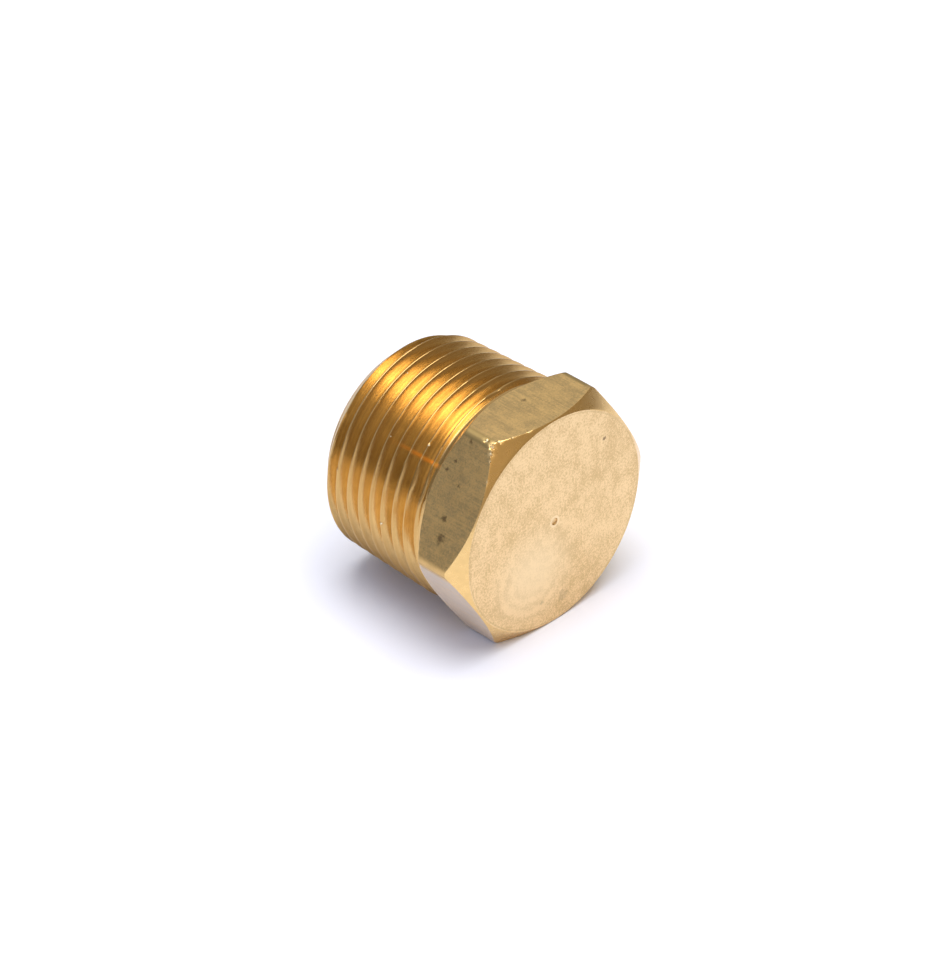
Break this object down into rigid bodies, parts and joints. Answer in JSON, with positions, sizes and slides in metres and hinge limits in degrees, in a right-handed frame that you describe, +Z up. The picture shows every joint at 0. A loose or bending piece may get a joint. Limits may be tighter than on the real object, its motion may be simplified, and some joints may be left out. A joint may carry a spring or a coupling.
{
  "type": "hex head pipe plug",
  "caption": "Solid brass pipe plug with a hexagonal wrench head and a tapered male pipe thread, used to close the end of a threaded pipe or fitting.",
  "frame": {"origin": "on the surface that the plug lies on, under the middle of its length", "axes": "+X along the plug's axis, out of the flat outer face of the head; -X out of the threaded end; +Z up, out of the hexagon's upper flat"},
  "size_m": [0.0242, 0.0306, 0.0268],
  "materials": {
    "brass": "machined"
  },
  "bodies": {
    "root": {"hex_pipe_plug": "brass"}
  },
  "joints": []
}
